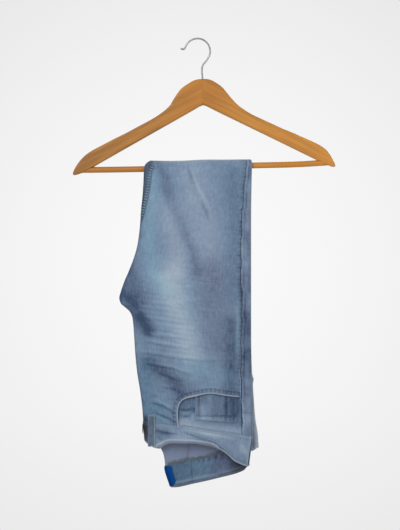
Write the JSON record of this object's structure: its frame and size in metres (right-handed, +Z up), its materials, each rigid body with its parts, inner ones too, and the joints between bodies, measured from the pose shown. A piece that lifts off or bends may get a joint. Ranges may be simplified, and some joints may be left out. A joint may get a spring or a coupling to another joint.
{
  "type": "jeans folded over a wooden hanger",
  "caption": "Folded five-pocket jeans in washed denim, hung by the legs over the bar of a flat wooden clothes hanger with a wire hook.",
  "frame": {"origin": "the point under the top of the hook where it rests on a rail", "axes": "+Z up, X along the hanger's bar, -Y towards the side where the hips and the open waist hang"},
  "size_m": [0.4438, 0.0656, 0.7581],
  "materials": {
    "denim": "washed light blue stretch denim, faded along the thigh",
    "metal": "dull grey metal",
    "label": "smooth royal blue woven tape, blank",
    "wood": "honey-coloured varnished hardwood",
    "wire": "bright plated wire"
  },
  "bodies": {
    "root": {"right_front": "denim", "left_front": "denim", "right_back": "denim", "left_back": "denim", "right_yoke": "denim", "left_yoke": "denim", "right_waistband": "denim", "left_waistband": "denim", "right_pocket_facing": "denim", "left_pocket_facing": "denim", "coin_pocket": "denim", "right_back_pocket": "denim", "left_back_pocket": "denim", "belt_loop_right_front": "denim", "belt_loop_left_front": "denim", "belt_loop_right_back": "denim", "belt_loop_left_back": "denim", "belt_loop_centre_back": "denim", "fly_placket": "denim", "fly_zip": "metal", "waist_button": "metal", "label": "label", "hanger_arm_left": "wood", "hanger_arm_right": "wood", "bar": "wood", "hook": "wire"}
  },
  "joints": []
}
